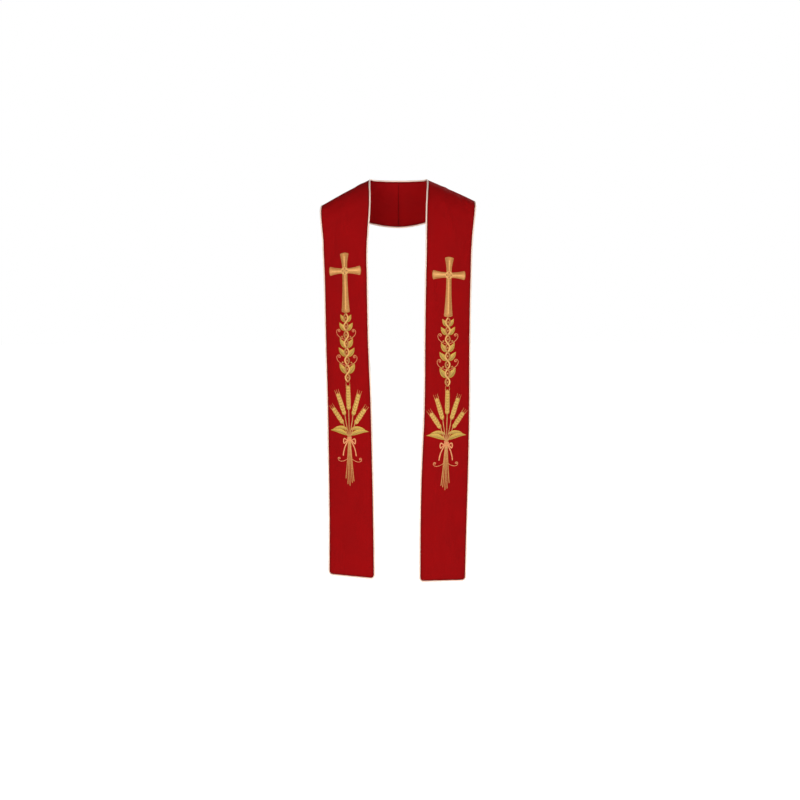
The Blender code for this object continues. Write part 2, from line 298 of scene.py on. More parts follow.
def grid_faces(rows, columns, looped=False, ringed=False):
    """Quads of a grid numbered along its rows. Looped joins its last row to its first, and ringed each row's ends."""
    row, column = np.meshgrid(np.arange(rows - (not looped)), np.arange(columns - (not ringed)), indexing="ij")
    row, below, after = row * columns, (row + 1) % rows * columns, (column + 1) % columns
    return points_of(row + column, row + after, below + after, below + column).reshape(-1, 4)


def grid_rim(rows, columns):
    """The numbers of a grid's outer points, in order round it."""
    right = np.arange(1, rows) * columns + columns - 1
    bottom = (rows - 1) * columns + np.arange(columns - 2, -1, -1)
    return joined(np.arange(columns), right, bottom, np.arange(rows - 2, 0, -1) * columns)


def tube_faces(rings, sides, looped=False):
    """Quads round a row of closed rings. Each end is closed by strips from one half of its ring to the other."""
    walls = grid_faces(rings, sides, looped, ringed=True)
    if looped:
        return walls
    half = np.arange(sides // 2 - 1)
    cap = points_of(half, sides - 1 - half, sides - 2 - half, half + 1)
    return joined(walls, cap, cap[:, ::-1] + (rings - 1) * sides)


def volume_sign(points, faces):
    """Which way the faces point: the sign of the summed volumes between each face and the middle."""
    corners = (points - points.mean(axis=0))[faces]
    halves = (np.cross(corners[:, number], corners[:, number + 1]) for number in (1, 2))
    return np.sign(sum(np.sum(corners[:, 0] * half) for half in halves))


def placed(name, data):
    """An object with this data, linked into the scene."""
    made = bpy.data.objects.new(name, data)
    bpy.context.scene.collection.objects.link(made)
    return made


def add_piece(name, band, points, faces, look, slot, **fields):
    """One closed mesh of quads, smooth shaded and facing outward, with a number or vector a point in each field."""
    if volume_sign(points, faces) < 0:
        faces = faces[:, ::-1]
    mesh = bpy.data.meshes.new(f"{name}_{band.name}")
    mesh.vertices.add(len(points))
    mesh.vertices.foreach_set("co", points.astype(np.float32).ravel())
    mesh.loops.add(faces.size)
    mesh.loops.foreach_set("vertex_index", faces.astype(np.int32).ravel())
    mesh.polygons.add(len(faces))
    mesh.polygons.foreach_set("loop_start", np.arange(0, faces.size, 4, dtype=np.int32))
    mesh.update(calc_edges=True)
    mesh.shade_smooth()
    for key, data in fields.items():
        kind, entry = ("FLOAT", "value") if data.ndim == 1 else ("FLOAT_VECTOR", "vector")
        mesh.attributes.new(key, kind, "POINT").data.foreach_set(entry, data.astype(np.float32).ravel())
    mesh.materials.append(look)
    piece = placed(mesh.name, mesh)
    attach(piece, "root")
    if name in STANDS_FOR:
        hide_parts(f"{STANDS_FOR[name]}_{band.name}")
    return piece


# --- Materials ---


class Nodes:
    """A node tree under construction. Its short methods add a node and return the output that is used."""

    def __init__(self, tree):
        self.nodes, self.links = tree.nodes, tree.links

    def fill(self, node, inputs):
        """Links or sets a node's inputs, each given by its name or number."""
        for key, value in inputs.items():
            if isinstance(value, bpy.types.NodeSocket):
                self.links.new(value, node.inputs[key])
            else:
                node.inputs[key].default_value = value
        return node

    def add(self, kind, inputs, **settings):
        node = self.nodes.new(f"ShaderNode{kind}")
        for key, value in settings.items():
            setattr(node, key, value)
        return self.fill(node, inputs)

    def attribute(self, name, output="Fac"):
        return self.add("Attribute", {}, attribute_name=name).outputs[output]

    def math(self, operation, *values):
        return self.add("Math", dict(enumerate(values)), operation=operation).outputs[0]

    def plus(self, *values):
        return reduce(lambda first, second: self.math("ADD", first, second), values)

    def times(self, first, second):
        return self.math("MULTIPLY", first, second)

    def wave(self, value, period):
        return self.math("SINE", self.times(value, TURN / period))

    def coordinates(self, name):
        """An attribute's vector, and the first two of its coordinates."""
        vector = self.attribute(name, "Vector")
        return vector, *self.add("SeparateXYZ", {0: vector}).outputs[:2]

    def scaled(self, vector, *scale):
        return self.add("Mapping", {"Vector": vector, "Scale": scale}).outputs[0]

    def noise(self, vector, scale=1, detail=2, roughness=0.5):
        inputs = {"Vector": vector, "Scale": scale, "Detail": detail, "Roughness": roughness}
        return self.add("TexNoise", inputs).outputs["Fac"]

    def ramp(self, factor, *colors):
        """Colors spread evenly over the factor's range from 0 to 1."""
        node = self.add("ValToRGB", {"Fac": factor})
        elements = node.color_ramp.elements
        while len(elements) < len(colors):
            elements.new(0.5)
        for element, position, color in zip(elements, np.linspace(0, 1, len(colors)), colors):
            element.position, element.color = position, (*color, 1)
        return node.outputs["Color"]

    def span(self, value, new_low, new_high, low=0.3, high=0.7):
        """Stretches low to high, by default the middle of a noise's range, to the new range."""
        return self.add("MapRange", dict(enumerate((value, low, high, new_low, new_high)))).outputs[0]

    def bump(self, height, distance, strength=1, **under):
        """A bump of this height, on the one that is given as Normal."""
        inputs = {"Distance": distance, "Strength": strength, "Height": height, **under}
        return self.add("Bump", inputs).outputs[0]

    def seen_as(self, plain, seen):
        """One shader for what the camera sees, and a plain one for all light that bounces."""
        rays = self.add("LightPath", {}).outputs["Is Camera Ray"]
        return self.add("MixShader", {0: rays, 1: plain, 2: seen}).outputs[0]


class Look(Nodes):
    """A material. Its settings are sockets of its shader, with underscores for the spaces in their names."""

    def __init__(self, name, **settings):
        self.material = bpy.data.materials.new(name)
        self.material.use_nodes = True
        super().__init__(self.material.node_tree)
        self.shader = self.nodes["Principled BSDF"]
        self.fill(self.shader, {socket.replace("_", " "): value for socket, value in settings.items()})

    def finish(self, color, normal, **more):
        self.fill(self.shader, {"Base Color": color, "Normal": normal, **more})
        return self.material


# The embroidery threads: the painted shade in grooves and folds, the thread's own color, and the painted highlight
# where it would catch the light
THREADS = {
    "cream gold": ((0.33, 0.125, 0.024), (0.59, 0.262, 0.066), (0.93, 0.500, 0.170)),
    "light gold": ((0.42, 0.180, 0.045), (0.74, 0.390, 0.115), (0.97, 0.620, 0.240)),
    "bright gold": ((0.34, 0.160, 0.020), (0.66, 0.400, 0.078), (0.98, 0.700, 0.200)),
    "olive gold": ((0.23, 0.140, 0.013), (0.54, 0.335, 0.045), (0.86, 0.570, 0.115)),
    "bronze": ((0.21, 0.072, 0.015), (0.46, 0.185, 0.043), (0.81, 0.430, 0.150)),
    "peach": ((0.38, 0.100, 0.035), (0.74, 0.280, 0.105), (0.98, 0.530, 0.250)),
}
# The cloth and the piping, from the painted shade at their seams to their lightest threads
REDS = (0.105, 0.0008, 0.0012), (0.290, 0.0017, 0.0026), (0.375, 0.0040, 0.0052)
CREAMS = (0.680, 0.400, 0.300), (0.930, 0.720, 0.600), (0.980, 0.850, 0.760)
WEAVE_REPEAT = 1.24 * MM  # over one thread and under the next
BIAS_REPEAT = 0.75 * MM
TWIST_REPEAT = 0.42 * MM


def red_cloth():
    """Fine plain weave: the size of the product of two sines is a knuckle of thread, with painted shade in the gaps
    between threads, and its sign says which set of threads is on top. Slubs run along both sets, and a painted
    shade darkens the cloth where it rolls into a seam."""
    sheen = {"Sheen_Weight": 0.03, "Sheen_Roughness": 0.45, "Sheen_Tint": (1, 0.12, 0.12, 1)}
    look = Look("red_cloth", Specular_IOR_Level=0.06, **sheen)
    cut, across, along = look.coordinates("cut")
    crossing = look.times(look.wave(across, WEAVE_REPEAT), look.wave(along, WEAVE_REPEAT))
    threads = look.math("POWER", look.math("ABSOLUTE", crossing), 0.6)
    fibre = look.noise(cut, 2600, 3, 0.65)
    slubs = look.plus(*(look.noise(look.scaled(cut, *scale)) for scale in ((900, 22, 9), (26, 900, 9))))
    cloudy = look.noise(cut, 16, 3, 0.55)
    # painted shade: darker in the gaps between threads, lighter on their knuckles
    tone = look.plus(
        look.span(slubs, -0.09, 0.09, 0.6, 1.4), look.span(cloudy, -0.05, 0.05), look.times(crossing, 0.10),
        look.times(threads, 0.24), look.span(fibre, -0.06, 0.06), 0.37,
    )
    # painted shade where the cloth rolls into a seam
    tone = look.math("SUBTRACT", tone, look.times(look.attribute("seam"), 0.36))
    weave = look.bump(threads, 0.16 * MM, 0.75, Normal=look.bump(slubs, 0.30 * MM, 0.35))
    normal = look.bump(fibre, 0.08 * MM, 0.6, Normal=weave)
    return look.finish(look.ramp(tone, *REDS), normal, Roughness=look.span(cloudy, 0.78, 0.88))


def cream_piping():
    """Bias strip round a cord: its threads cross as two sets of slanted stripes, and its lip has a painted shade."""
    look = Look("cream_piping", Sheen_Weight=0.15, Sheen_Roughness=0.4, Specular_IOR_Level=0.35)
    wrap, around, along = look.coordinates("wrap")
    slants = [look.math(operation, along, around) for operation in ("ADD", "SUBTRACT")]
    threads = look.times(*(look.wave(slant, BIAS_REPEAT) for slant in slants))
    fibre = look.noise(wrap, 2200, 3, 0.6)
    cloudy = look.noise(look.scaled(wrap, 60, 45, 1), 1, 3, 0.55)
    tone = look.plus(look.span(cloudy, 0.40, 0.62), look.times(threads, 0.05), look.span(fibre, -0.05, 0.05))
    # painted shade on the lip, where the cord meets the cloth
    tone = look.math("SUBTRACT", tone, look.times(look.attribute("seam"), 0.45))
    normal = look.bump(fibre, 0.05 * MM, 0.5, Normal=look.bump(threads, 0.10 * MM, 0.6))
    return look.finish(look.ramp(tone, *CREAMS), normal, Roughness=look.span(cloudy, 0.48, 0.62))


def thread_look(name, colors):
    """Glossy embroidery thread: the tone attribute runs from painted shade to painted highlight, through each
    thread's own tone, and each strand has a fine twist.
    """
    look = Look(name, Sheen_Weight=0.10, Sheen_Roughness=0.35, Specular_IOR_Level=0.32)
    strand, across, along = look.coordinates("strand")
    twist = look.wave(look.plus(across, along), TWIST_REPEAT)
    patchy = look.noise(look.scaled(strand, 160, 420, 1), 1, 3, 0.6)
    tone = look.plus(look.attribute("tone"), look.span(patchy, -0.12, 0.12), look.times(twist, 0.04))
    normal = look.bump(twist, 0.04 * MM, 0.45)
    return look.finish(look.ramp(tone, *colors), normal, Roughness=look.span(patchy, 0.34, 0.50))


# --- Bands and piping ---

CLOTH_STEP = 3.6 * MM
EDGE_ROLL = 4 * MM  # how far from its edge the cloth starts to roll into the seam
PAST_ROLL = np.array((4.4, 5.8, 7.6)) * MM  # further distances from an edge with a row of points
ROLL_DROP = 0.84 * MM  # how far each face has rolled in where it meets the piping
SEAM_SHADE_REACH = 5 * MM  # how far in from a seam the painted shade darkens the cloth
TUCK = 0.22 * MM  # the cloth runs this far on beyond the solid's edge, into the piping
SEAM_MEET = 0.12 * MM  # and this far on towards the other band at the centre back
SEAM_OVERLAP = 0.05 * MM  # and each band then goes this far past the middle, so that no light shows between them
SEAM_SHARPNESS = 2.4  # how many times tighter the cloth rolls into the centre back seam
DRAW_REACH = 4 * MM  # how far down the band the centre back's edge is drawn on
INNER_WEAVE = (0.4, 0, 0.3)  # how far off in the weave the inner face is, so that it isn't the outer's twin
PIPING_STEP = 3.2 * MM
PIPING_SIDES = 18
PIPING_PINCH = 0.62 * MM  # how far the bias strip draws to a lip at its seam
BREATH = 0.012  # how much of its radius the piping breathes, in two waves of these lengths and shifts
BREATH_WAVES = ((4.1 * MM, 0), (11.7 * MM, 1.3))


def quarter_turns(count):
    return np.radians(np.linspace(0, 90, count))


def edge_steps():
    """Distances from an edge, as 1 less the cosine of even turns over the roll, then widening."""
    return joined(EDGE_ROLL * (1 - np.cos(quarter_turns(7))), PAST_ROLL)


def hem_inset(band, along, extra):
    """How far a rounded hem corner draws the edge in, as a share of the width: r less the root of r^2 - t^2."""
    radius = HEM_CORNER + extra
    into = np.clip(along - hem_length(band) + HEM_CORNER, 0, radius)
    return (radius - np.sqrt(radius**2 - into**2) - extra) / width_of(band, hem_length(band))


def edge_distance(band, along, across):
    """Distance in from the seams: to the sides and hem, to the round of a hem corner, or to the centre back."""
    side = width_of(band, along) / 2 + TUCK - np.abs(across - 0.5) * width_of(band, along)
    up = hem_length(band) + TUCK - along
    radius = HEM_CORNER + TUCK
    corner = radius - np.hypot(np.maximum(radius - side, 0), np.maximum(radius - up, 0))
    inside = (side < radius) & (up < radius)
    return np.minimum(np.where(inside, corner, np.minimum(side, up)), (along + SEAM_MEET) * SEAM_SHARPNESS)


def rolled(distance):
    """A quarter of an ellipse: how far a face drops towards the seam, from 0 at the roll's start."""
    return ROLL_DROP * (1 - round_of(np.clip(1 - distance / EDGE_ROLL, 0, 1)))


def met(band, along, across):
    """Lengths drawn on at the centre back, so that every point of the seam is a hair past the middle.

    The draw is what is still missing sideways over the sideways speed there, dying away over a few threads.
    """
    start, step = np.full_like(across, -SEAM_MEET), 1 * MM
    place = straight(band, start, across)[..., 0] * band.out
    speed = (straight(band, start + step, across)[..., 0] * band.out - place) / step
    return along - (place + SEAM_OVERLAP) / speed * bell((along + SEAM_MEET) / DRAW_REACH)


def band_rows(band):
    """Lengths along the band: close at the centre back seam, even down the band, close round the hem."""
    start = edge_steps() - SEAM_MEET
    stop = hem_length(band) - HEM_CORNER
    even = np.linspace(start[-1], stop, int((stop - start[-1]) / CLOTH_STEP))[1:-1]
    corner = hem_length(band) + TUCK - (HEM_CORNER + TUCK) * (1 - np.sin(quarter_turns(12)))
    return joined(start, even, corner)


def band_columns():
    """Shares across the band: close at both edges, even between."""
    steps = (edge_steps() - TUCK) / MEAN_WIDTH
    return joined(steps, np.linspace(steps[-1], 1 - steps[-1], 34)[1:-1], 1 - steps[::-1])


def add_band(band, look):
    """A closed wall: the cloth's outer face, and its inner face a wall's thickness behind it, both rolled in."""
    along, share = np.meshgrid(band_rows(band), band_columns(), indexing="ij")
    inset = hem_inset(band, along, TUCK) + TUCK / width_of(band, hem_length(band))
    across = inset + (1 - 2 * inset) * share
    distance = edge_distance(band, along, across)
    drop = rolled(distance)
    along = met(band, along, across)
    points = [raised(band, along, across, height).reshape(-1, 3) for height in (-drop, drop - WALL)]
    faces, rim, count = grid_faces(*along.shape), grid_rim(*along.shape), along.size
    after = np.roll(rim, -1)
    sides = points_of(rim, after, after + count, rim + count)
    cut = points_of(across * MEAN_WIDTH, along, 0).reshape(-1, 3)
    # painted shade: the cloth darkens towards each seam, fading out over this reach
    seam = bell(np.maximum(distance, 0) / SEAM_SHADE_REACH).ravel()
    return add_piece(
        "band_cloth", band, joined(*points), joined(faces[:, ::-1], faces + count, sides),
        look, "red_cloth", seam=np.tile(seam, 2), cut=joined(cut, cut + INNER_WEAVE),
    )


def edge_route(band):
    """Along and across values of the band's edge: down the inner side, round the hem, up the outer side."""
    stop = hem_length(band) - HEM_CORNER
    corner = hem_length(band) - HEM_CORNER * (1 - np.sin(quarter_turns(9)))[1:]
    sides = joined(np.linspace(-SEAM_MEET, stop, int(stop / PIPING_STEP)), corner)
    inset = hem_inset(band, sides, 0)
    hem = np.linspace(inset[-1], 1 - inset[-1], int(MEAN_WIDTH / PIPING_STEP))[1:-1]
    along = joined(sides, np.full(len(hem), sides[-1]), sides[::-1])
    return along, joined(inset, hem, 1 - inset[::-1])


def add_piping(band, look):
    """A cord in a bias strip, carried along the edge: rings of one radius, drawn to a lip on the cloth's side.

    Each ring stands on the mitre of its bend. The radius breathes by 2 in a hundred along the cord.
    """
    along, across = edge_route(band)
    edge = raised(band, met(band, along, across), across, -WALL / 2)
    steps = unit(np.diff(edge, axis=0))
    mirrored_ends = steps[[0, -1]] * np.array((1, -1, -1))
    before, after = joined(mirrored_ends[:1], steps), joined(steps, mirrored_ends[1:])
    ahead = unit(before + after)
    outward = unit(np.cross(ahead, normals(cloth, band, along, across))) * band.out
    upright = np.cross(outward, ahead)
    mitred = outward * (1 / np.sqrt((1 + np.sum(before * after, axis=1, keepdims=True)) / 2))
    middle = edge + mitred * (SEAM_GAP + PIPING_RADIUS)
    run = run_of(middle)
    turns = TURN * (np.arange(PIPING_SIDES) + 0.5) / PIPING_SIDES
    breath = 1 + BREATH * sum(np.sin(run / length + shift) for length, shift in BREATH_WAVES) - BREATH
    lip = np.maximum(-np.cos(turns), 0)
    radius = PIPING_RADIUS * breath[:, None] + PIPING_PINCH * lip**9
    sideways, rise = (radius * wave(turns) for wave in (np.cos, np.sin))
    rings = middle[:, None] + sideways[..., None] * mitred[:, None] + rise[..., None] * upright[:, None]
    wrap = points_of(PIPING_RADIUS * np.abs(turns - np.pi), run[:, None], 0)
    # the seam field is a painted shade on the lip of the strip, where it meets the cloth
    return add_piece(
        "piping_cord", band, rings.reshape(-1, 3), tube_faces(*radius.shape), look, "cream_piping",
        seam=np.tile(lip**3, len(run)), wrap=wrap.reshape(-1, 3),
    )


# --- Embroidery ---
# Each shape is laid out flat, as sideways (towards the band's outer edge) and down from the crossing of the
# cross, in metres, and then set on the cloth. Both bands have the same shapes.

THREAD = 0.95 * MM  # from one satin stitch to the next
THREAD_ROWS = 3  # rows of points to a stitch: one in the groove and two on the thread
THREAD_RIDGE = 0.24 * MM
THREAD_DRAW = 0.05  # how much narrower a column is in a groove than on a thread
THREAD_SPREAD = 0.16  # how far the threads differ in tone
STRAND_STEP = 0.9 * MM  # how far apart the points of a ring are in the thread's own pattern
TONE_MULTIPLES = (12.9898, 43758.5453)  # of a thread's number and of its sine, for a tone that looks random
GROOVE_SHADE = 0.26  # painted shade: how much darker the thread is made in the groove between two stitches
HALF_CHANGE = 4  # how fast the painted light of one half of a leaf or arm changes to the painted shade of the other
SUNK = -0.30 * MM  # the underside of the stitching, inside the cloth
SIDES = (1, -1)

CORD_STEP = 0.4 * MM  # how far before and after a point a cord's direction is measured
CORD_END = 0.08  # how wide a cord still is at its very end
LEAF_TRIM = 0.004  # how short of its foot and tip a leaf's stitches start and stop, as a share of its length
LEAF_GROOVE = 0.16  # the half width of a leaf's groove, and of the groove in the cross's arms, as shares
ARM_GROOVE = 0.12

# One flat stitched shape: points (rings, sides, 2), heights and tones (rings, sides), and whether it is a loop
Stitched = namedtuple("Stitched", "plan height tone loop")


def stitched(plan, height, tone, loop=False):
    """A stitched shape whose rows are each closed into a ring by two more points on the underside."""
    plan, tone = (np.concatenate((rows, rows[:, [-1, 0]]), axis=1) for rows in (plan, tone))
    return Stitched(plan, np.concatenate((height, np.full((len(plan), 2), SUNK)), axis=1), tone, loop)


def ridges(threads):
    """Rounded threads: 1 on the top of each and 0 between two, as the root of the sine's size."""
    return np.sqrt(np.abs(np.sin(np.pi * threads)))


def ridge_heights(threads):
    return THREAD_RIDGE * (ridges(threads)[:, None] - 1)


def thread_tone_and_groove_shade(threads, seed):
    """A small difference for each thread, from the fraction of a large multiple of its sine, and a painted shade in
    its grooves.
    """
    small, large = TONE_MULTIPLES
    each = np.abs(np.sin((np.floor(threads) + seed) * small) * large) % 1
    return ((each - 0.5) * THREAD_SPREAD - GROOVE_SHADE * (1 - ridges(threads)))[:, None]


def halves(v):
    """Which half of a shape a place across it is in: from -1 to 1, with a quick change at the middle line. It sets
    painted light on one half and painted shade on the other.
    """
    return np.clip(v * HALF_CHANGE, -1, 1)


def pillow(columns):
    """Shares across a stitched shape, from -1 to 1, closer at its sides: the sine of even turns."""
    return np.sin(np.linspace(-np.pi / 2, np.pi / 2, columns))


def along_path(path, at):
    """Points of a polyline at these distances along it, each coordinate read by straight interpolation."""
    run = run_of(path)
    return points_of(*(np.interp(at, run, column) for column in path.T))


def thread_rows(length, loop=False, each=THREAD_ROWS):
    """How many threads lie along a length, counted from 0, at each of its rows of points."""
    threads = max(int(round(length / THREAD)), 5)
    return np.arange(threads * each + (not loop)) / each


def satin_cord(path, half_width, height, tone=0.5, slant=0, lift=0, base=0, loop=False, columns=7, seed=0,
               painted_highlight=0, each=THREAD_ROWS):
    """A narrow satin column carried along a path: across it the height is the root of 1 - v^2, with ridges.

    Slanted threads start further along the path on one side than on the other. Open ends are rounded, and
    lift adds to the height along the path, a number for each of its points.
    """
    length = run_of(path)[-1]
    threads = thread_rows(length, loop, each)
    at = length * threads / (threads[-1] + (1 / each if loop else 0))
    v = pillow(columns)
    reach = at[:, None] + slant * half_width * v
    if loop:
        reach = reach % length
        low, high = (reach - CORD_STEP) % length, (reach + CORD_STEP) % length
        ends = np.ones(len(at))
    else:
        reach = np.clip(reach, 0, length)
        low = np.clip(reach - CORD_STEP, 0, length - CORD_STEP)
        high = np.clip(reach + CORD_STEP, CORD_STEP, length)
        ends = round_of(1 - np.clip(np.minimum(at, length - at) / half_width, 0, 1))
        ends = np.maximum(ends, CORD_END)
    ahead = unit(along_path(path, high) - along_path(path, low))
    swing = (half_width * ends * (1 - THREAD_DRAW * (1 - ridges(threads))))[:, None] * v
    plan = along_path(path, reach) + points_of(-ahead[..., 1], ahead[..., 0]) * swing[..., None]
    rise = np.interp(at, np.linspace(0, length, np.size(lift)), np.broadcast_to(lift, np.size(lift)))
    dome = round_of(v) * ends[:, None]
    tall = base + dome * (height + rise[:, None]) + ridge_heights(threads) * dome
    # the painted highlight makes the middle of the column lighter than its sides
    return stitched(plan, tall, tone + painted_highlight * (1 - np.abs(v)) + thread_tone_and_groove_shade(threads, seed), loop)


def heading_of(degrees):
    """The unit step (sideways, down) of a heading, where 0 points up the band and 90 towards its outer edge."""
    turn = np.radians(degrees)
    return points_of(np.sin(turn), -np.cos(turn))


def curved_line(start, heading, length, bend, samples=40, scroll=0):
    """A line summed from short steps, whose heading changes by bend degrees times the share of its length.

    Scroll is a further bend with the fourth power of the share, which ends the line in a tightening scroll.
    """
    share = (np.arange(samples - 1) + 0.5) / (samples - 1)
    steps = heading_of(heading + bend * share + scroll * share**4) * length / (samples - 1)
    return joined(np.array([start]), np.array(start) + np.cumsum(steps, axis=0))


def satin_leaf(start, heading, length, half_width, bend=0, blunt=(0.75, 1.1), slant=0.8, pad=0.9 * MM,
               groove=0.45, base=0, tone=0.35, edge_tone=0.35, columns=12, seed=0, painted_side_light=0, tip_tone=0.12):
    """A leaf of two satin halves. At a share t of its length its half width is t^a (1 - t)^b, scaled to its widest.

    Each thread runs from the middle line out to the edge, a slant further towards the tip. The height is a
    rounded pad with a groove on the middle line, and a ridge for each thread.
    """
    threads = thread_rows(length)
    t = LEAF_TRIM + (1 - 2 * LEAF_TRIM) * threads / threads[-1]
    rising, falling = blunt
    widest = rising / (rising + falling)
    half = half_width * t**rising * (1 - t) ** falling / (widest**rising * (1 - widest) ** falling)
    line = curved_line(start, heading, length, bend)
    turn = np.radians(heading + bend * t)
    side = points_of(np.cos(turn), np.sin(turn))[:, None]
    v = pillow(columns)
    share = np.abs(v)[None, :, None]
    foot = along_path(line, np.clip(t * length - slant * half, 0, length))[:, None]
    edge = along_path(line, t * length)[:, None]
    plan = foot * (1 - share) + edge * share + (half[:, None] * v)[..., None] * side
    dip = 1 - groove * bell(v / LEAF_GROOVE)
    full = np.sqrt(half / half_width)[:, None]
    tall = base + full * round_of(v, 2.4) * (pad * dip + ridge_heights(threads))
    # the side tone paints one half lighter and the other darker, as light falling from one side
    tint = tone + edge_tone * np.abs(v) ** 1.5 + painted_side_light * halves(v) + tip_tone * (t[:, None] - 0.5)
    return stitched(plan, tall, tint + thread_tone_and_groove_shade(threads, seed))


def dot(side, down, radius, pad, base=0, tone=0.62, heading=20, seed=0, edge_tone=-0.45):
    """A padded dot: a leaf outline with both exponents a half, which is a circle. By default its rim is darker than
    its middle, a painted shade that rounds it.
    """
    start = np.array((side, down)) - heading_of(heading) * radius
    return satin_leaf(start, heading, 2 * radius, radius, blunt=(0.5, 0.5), slant=0, pad=pad, groove=0,
                      base=base, tone=tone, edge_tone=edge_tone, columns=10, seed=seed)


def add_stitching(name, band, shapes, look):
    """Sets stitched shapes on the cloth as one piece: down adds to along, and sideways over the width to across."""
    crossing = hem_length(band) - CROSS_ABOVE_HEM
    plans = joined(*(shape.plan.reshape(-1, 2) for shape in shapes))
    across = 0.5 + plans[:, 0] / width_of(band, crossing)
    faces, strands, first = [], [], 0
    for shape in shapes:
        rings, sides = shape.height.shape
        faces.append(tube_faces(rings, sides, shape.loop) + first)
        ring, side = np.arange(rings)[:, None] * THREAD / THREAD_ROWS, np.arange(sides) * STRAND_STEP
        strands.append(points_of(side, ring, 0).reshape(-1, 3))
        first += rings * sides
    points = raised(band, crossing + plans[:, 1], across, joined(*(shape.height.ravel() for shape in shapes)))
    tones = joined(*(shape.tone.ravel() for shape in shapes))
    return add_piece(name, band, points, joined(*faces), look, "gold_thread", tone=tones, strand=joined(*strands))


# --- The cross ---

BORDER_HALF = 1.5 * MM
BORDER_TALL = 1.35 * MM
FILL_TALL = 0.95 * MM
FILL_INSET = 0.8  # how much of the border's width the filling keeps clear of
FILL_START = 0.05  # how far the filling runs back under the boss, as a share of the arm
FILL_SLANT = 0.55
FILL_GROOVE = 0.35  # how deep the groove down an arm's middle is, as a share of its height
FILL_RISE = 30  # how fast an arm's ends rise to their height, and how high they start
FILL_END = 0.15
FILL_PAINTED_SHEEN = 0.34  # how much lighter the painted sheen makes the middle line, and then how much painted light and shade make the two halves differ
FILL_PAINTED_SIDE_LIGHT = 0.10
UPRIGHT_TONE = 0.27
SIDE_ARM_TONE = 0.46
RIB = dict(half_width=1.05 * MM, height=0.75 * MM, tone=0.65, slant=1, base=0.5 * MM, painted_highlight=0.25)
RIB_ENDS = (13 * MM, 7 * MM)  # clear of the boss and of the arm's end
PETAL = dict(length=9.5 * MM, half_width=3.7 * MM, blunt=(0.85, 0.45), slant=0.5, groove=0.4, base=1.5 * MM,
             tone=0.45, edge_tone=0.3, columns=10)
PETAL_FOOT = 1.5 * MM
PETAL_HEADINGS = (45, 135, 225, 315)
BOSS_GROUND = dict(radius=10.5 * MM, pad=1.3 * MM, base=0.5 * MM, tone=0.40, heading=45, seed=5, edge_tone=0.1)
BOSS_EYE = dict(radius=2.5 * MM, pad=1.3 * MM, base=1.9 * MM, tone=0.6)
BOSS_RING = dict(half_width=0.9 * MM, height=0.9 * MM, tone=0.55, slant=0.6, base=0.9 * MM, painted_highlight=0.2)
BOSS_RADIUS = 10.6 * MM


def turned(sideways, reach, degrees):
    """A point of an upright arm, turned round the crossing."""
    cosine, sine = np.cos(np.radians(degrees)), np.sin(np.radians(degrees))
    return points_of(sideways * cosine + reach * sine, sideways * sine - reach * cosine)


def arm_half_width(out):
    return CROSS_WAIST + CROSS_FLARE * out**2


def cross_fill(degrees, length, seed, tone):
    """One flared arm of slanted satin. Its half width is the waist plus the flare times the share squared.

    Threads run out from the middle line, less slanted towards the arm's bowed end.
    """
    reach, whole = length - CROSS_WAIST, 1 + FILL_START
    threads = thread_rows(reach * whole)
    r = (threads / threads[-1] * whole - FILL_START)[:, None]
    share = np.clip(r, 0, 1)
    v = pillow(14)[None]
    half = arm_half_width(share) - 2 * BORDER_HALF * FILL_INSET
    slant = FILL_SLANT * half * np.abs(v) * (1 - share**2)
    out = CROSS_WAIST + (reach - BORDER_HALF + CROSS_BOW) * r + slant
    plan = turned(half * v, out - CROSS_BOW * v**2 * share**4, degrees)
    dip = 1 - FILL_GROOVE * bell(v / ARM_GROOVE)
    ends = np.clip(np.minimum(r + FILL_START, 1 - r) * FILL_RISE, FILL_END, 1)
    tall = round_of(v, 3) * ends * (FILL_TALL * dip + ridge_heights(threads))
    # painted sheen down the middle line, and painted light on one half with painted shade on the other
    tint = tone + FILL_PAINTED_SHEEN * (1 - np.abs(v)) + FILL_PAINTED_SIDE_LIGHT * halves(v) + thread_tone_and_groove_shade(threads, seed)
    return stitched(plan, tall, tint)


def cross_border():
    """The whole outline of the cross as one loop, half a border inside it, with its corners a little rounded."""
    corners, out, share = [], np.linspace(0, 1, 60), np.linspace(-1, 1, 24)[1:-1]
    half = arm_half_width(out) - BORDER_HALF
    for degrees, length in CROSS_ARMS:
        reach = CROSS_WAIST - BORDER_HALF + (length - CROSS_WAIST) * out
        end = turned(share * half[-1], reach[-1] + CROSS_BOW * (1 - share**2), degrees)
        corners += [turned(-half, reach, degrees), end, turned(half, reach, degrees)[::-1]]
    loop = joined(*corners, corners[0][:1])
    even = along_path(loop, np.linspace(0, run_of(loop)[-1], 1600, endpoint=False))
    for _ in range(2):
        even = sum(np.roll(even, shift, axis=0) for shift in (-2, -1, 0, 1, 2)) / 5
    return satin_cord(joined(even, even[:1]), BORDER_HALF, BORDER_TALL, 0.45, 0.5, loop=True, painted_highlight=0.25)


def cross_rib(degrees, length):
    path = np.linspace(turned(0, RIB_ENDS[0], degrees), turned(0, length - RIB_ENDS[1], degrees), 30)
    return satin_cord(path, **RIB)


def boss_petals():
    """Four petals, a dot where they meet, and a ring of cord round them."""
    petals = [
        satin_leaf(heading_of(heading) * PETAL_FOOT, heading, seed=heading, **PETAL) for heading in PETAL_HEADINGS
    ]
    circle = BOSS_RADIUS * heading_of(np.degrees(np.linspace(0, TURN, 160)))
    return petals + [dot(0, 0, **BOSS_EYE), satin_cord(circle, loop=True, **BOSS_RING)]


